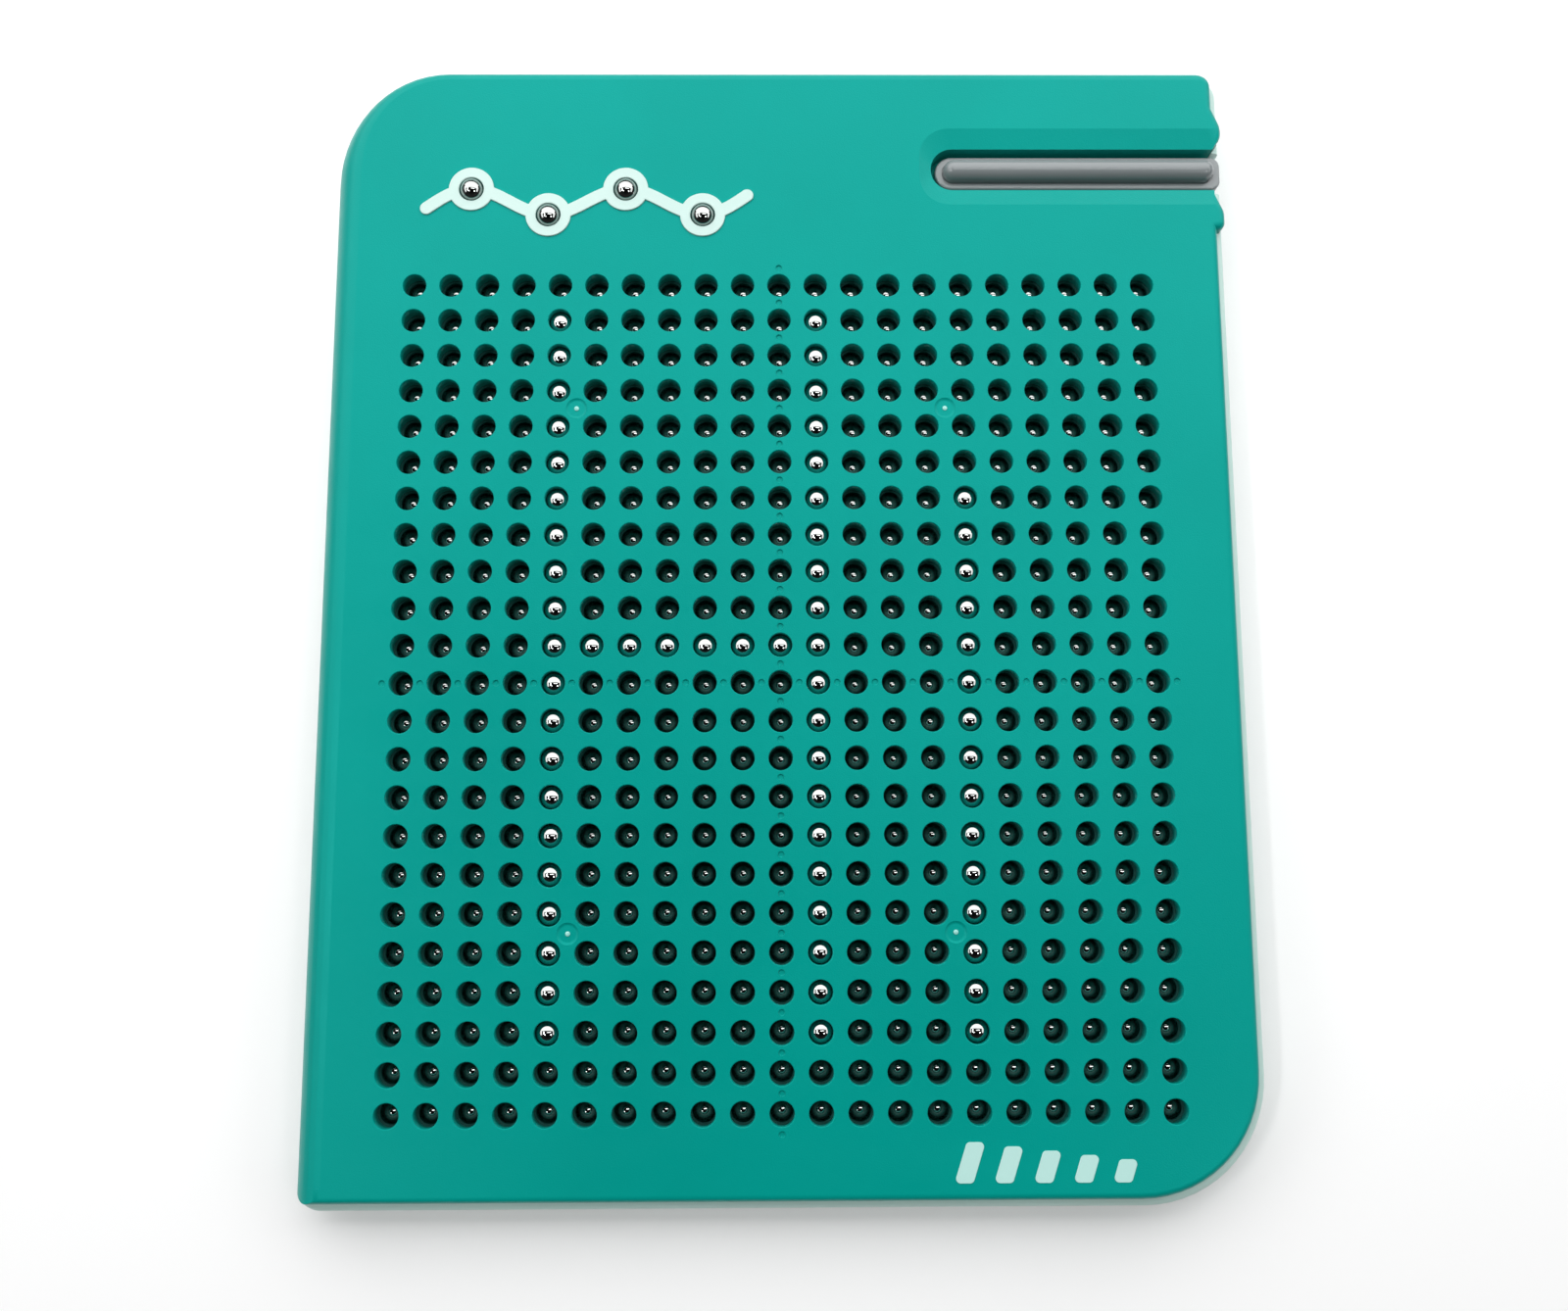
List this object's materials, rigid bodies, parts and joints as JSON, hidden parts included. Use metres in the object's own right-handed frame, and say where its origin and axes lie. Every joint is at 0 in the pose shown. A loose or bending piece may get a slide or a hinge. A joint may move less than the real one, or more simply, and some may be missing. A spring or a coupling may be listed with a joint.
{
  "type": "magnetic bead drawing board",
  "caption": "Flat hand-held drawing board: a perforated plastic face with a captive steel ball behind each hole, and a magnetic stylus in a bay at the edge.",
  "frame": {"origin": "middle of the back, on the surface that the board rests on", "axes": "+X to the board's right, +Y towards the edge with the stylus, +Z out of the perforated face"},
  "size_m": [0.238, 0.295, 0.0173],
  "materials": {
    "cover_teal": "fine satin moulded grain",
    "cover_mint": "semi-gloss moulding",
    "zinc_screw": "zinc plated",
    "guide_dark": "matt dark green moulding",
    "retainer_rubber": "soft sheet",
    "liner_foam": "thin closed-cell sheet",
    "inlay_pale": "semi-gloss",
    "print_pale": "printed ink",
    "bead_steel": "polished bearing ball",
    "stylus_grey": "gloss moulding",
    "magnet_nickel": "nickel plated"
  },
  "bodies": {
    "case": {"front_cover": "cover_teal", "back_cover": "cover_mint", "cover_screws": "zinc_screw", "guide_plate_upper": "guide_dark", "retainer_sheet": "retainer_rubber", "guide_plate_lower": "guide_dark", "base_liner": "liner_foam", "badge_inlay": "inlay_pale", "badge_beads": "bead_steel", "corner_mark": "print_pale"},
    "stylus": {"stylus_base": "stylus_grey", "stylus_cap": "stylus_grey", "stylus_magnet": "magnet_nickel"},
    "beads_raised_left_upright": {"beads_raised_left_upright": "bead_steel"},
    "beads_raised_crossbar": {"beads_raised_crossbar": "bead_steel"},
    "beads_raised_right_upright": {"beads_raised_right_upright": "bead_steel"},
    "beads_raised_short_upright": {"beads_raised_short_upright": "bead_steel"},
    "beads_lowered_column_01": {"beads_lowered_column_01": "bead_steel"},
    "beads_lowered_column_02": {"beads_lowered_column_02": "bead_steel"},
    "beads_lowered_column_03": {"beads_lowered_column_03": "bead_steel"},
    "beads_lowered_column_04": {"beads_lowered_column_04": "bead_steel"},
    "beads_lowered_column_05": {"beads_lowered_column_05": "bead_steel"},
    "beads_lowered_column_06": {"beads_lowered_column_06": "bead_steel"},
    "beads_lowered_column_07": {"beads_lowered_column_07": "bead_steel"},
    "beads_lowered_column_08": {"beads_lowered_column_08": "bead_steel"},
    "beads_lowered_column_09": {"beads_lowered_column_09": "bead_steel"},
    "beads_lowered_column_10": {"beads_lowered_column_10": "bead_steel"},
    "beads_lowered_column_11": {"beads_lowered_column_11": "bead_steel"},
    "beads_lowered_column_12": {"beads_lowered_column_12": "bead_steel"},
    "beads_lowered_column_13": {"beads_lowered_column_13": "bead_steel"},
    "beads_lowered_column_14": {"beads_lowered_column_14": "bead_steel"},
    "beads_lowered_column_15": {"beads_lowered_column_15": "bead_steel"},
    "beads_lowered_column_16": {"beads_lowered_column_16": "bead_steel"},
    "beads_lowered_column_17": {"beads_lowered_column_17": "bead_steel"},
    "beads_lowered_column_18": {"beads_lowered_column_18": "bead_steel"},
    "beads_lowered_column_19": {"beads_lowered_column_19": "bead_steel"},
    "beads_lowered_column_20": {"beads_lowered_column_20": "bead_steel"},
    "beads_lowered_column_21": {"beads_lowered_column_21": "bead_steel"}
  },
  "joints": [
    {"name": "stylus_lift", "type": "slide", "parent": "case", "child": "stylus", "axis": [0, 0, 1], "range_m": [0, 0.03]},
    {"name": "press_raised_left_upright", "type": "slide", "parent": "case", "child": "beads_raised_left_upright", "axis": [0, 0, 1], "range_m": [-0.005, 0], "deforming": ["retainer_sheet"]},
    {"name": "press_raised_crossbar", "type": "slide", "parent": "case", "child": "beads_raised_crossbar", "axis": [0, 0, 1], "range_m": [-0.005, 0]},
    {"name": "press_raised_right_upright", "type": "slide", "parent": "case", "child": "beads_raised_right_upright", "axis": [0, 0, 1], "range_m": [-0.005, 0]},
    {"name": "press_raised_short_upright", "type": "slide", "parent": "case", "child": "beads_raised_short_upright", "axis": [0, 0, 1], "range_m": [-0.005, 0]},
    {"name": "pull_lowered_column_01", "type": "slide", "parent": "case", "child": "beads_lowered_column_01", "axis": [0, 0, 1], "range_m": [0, 0.005]},
    {"name": "pull_lowered_column_02", "type": "slide", "parent": "case", "child": "beads_lowered_column_02", "axis": [0, 0, 1], "range_m": [0, 0.005]},
    {"name": "pull_lowered_column_03", "type": "slide", "parent": "case", "child": "beads_lowered_column_03", "axis": [0, 0, 1], "range_m": [0, 0.005]},
    {"name": "pull_lowered_column_04", "type": "slide", "parent": "case", "child": "beads_lowered_column_04", "axis": [0, 0, 1], "range_m": [0, 0.005]},
    {"name": "pull_lowered_column_05", "type": "slide", "parent": "case", "child": "beads_lowered_column_05", "axis": [0, 0, 1], "range_m": [0, 0.005]},
    {"name": "pull_lowered_column_06", "type": "slide", "parent": "case", "child": "beads_lowered_column_06", "axis": [0, 0, 1], "range_m": [0, 0.005]},
    {"name": "pull_lowered_column_07", "type": "slide", "parent": "case", "child": "beads_lowered_column_07", "axis": [0, 0, 1], "range_m": [0, 0.005]},
    {"name": "pull_lowered_column_08", "type": "slide", "parent": "case", "child": "beads_lowered_column_08", "axis": [0, 0, 1], "range_m": [0, 0.005]},
    {"name": "pull_lowered_column_09", "type": "slide", "parent": "case", "child": "beads_lowered_column_09", "axis": [0, 0, 1], "range_m": [0, 0.005]},
    {"name": "pull_lowered_column_10", "type": "slide", "parent": "case", "child": "beads_lowered_column_10", "axis": [0, 0, 1], "range_m": [0, 0.005]},
    {"name": "pull_lowered_column_11", "type": "slide", "parent": "case", "child": "beads_lowered_column_11", "axis": [0, 0, 1], "range_m": [0, 0.005]},
    {"name": "pull_lowered_column_12", "type": "slide", "parent": "case", "child": "beads_lowered_column_12", "axis": [0, 0, 1], "range_m": [0, 0.005]},
    {"name": "pull_lowered_column_13", "type": "slide", "parent": "case", "child": "beads_lowered_column_13", "axis": [0, 0, 1], "range_m": [0, 0.005]},
    {"name": "pull_lowered_column_14", "type": "slide", "parent": "case", "child": "beads_lowered_column_14", "axis": [0, 0, 1], "range_m": [0, 0.005]},
    {"name": "pull_lowered_column_15", "type": "slide", "parent": "case", "child": "beads_lowered_column_15", "axis": [0, 0, 1], "range_m": [0, 0.005]},
    {"name": "pull_lowered_column_16", "type": "slide", "parent": "case", "child": "beads_lowered_column_16", "axis": [0, 0, 1], "range_m": [0, 0.005]},
    {"name": "pull_lowered_column_17", "type": "slide", "parent": "case", "child": "beads_lowered_column_17", "axis": [0, 0, 1], "range_m": [0, 0.005]},
    {"name": "pull_lowered_column_18", "type": "slide", "parent": "case", "child": "beads_lowered_column_18", "axis": [0, 0, 1], "range_m": [0, 0.005]},
    {"name": "pull_lowered_column_19", "type": "slide", "parent": "case", "child": "beads_lowered_column_19", "axis": [0, 0, 1], "range_m": [0, 0.005]},
    {"name": "pull_lowered_column_20", "type": "slide", "parent": "case", "child": "beads_lowered_column_20", "axis": [0, 0, 1], "range_m": [0, 0.005]},
    {"name": "pull_lowered_column_21", "type": "slide", "parent": "case", "child": "beads_lowered_column_21", "axis": [0, 0, 1], "range_m": [0, 0.005]}
  ]
}
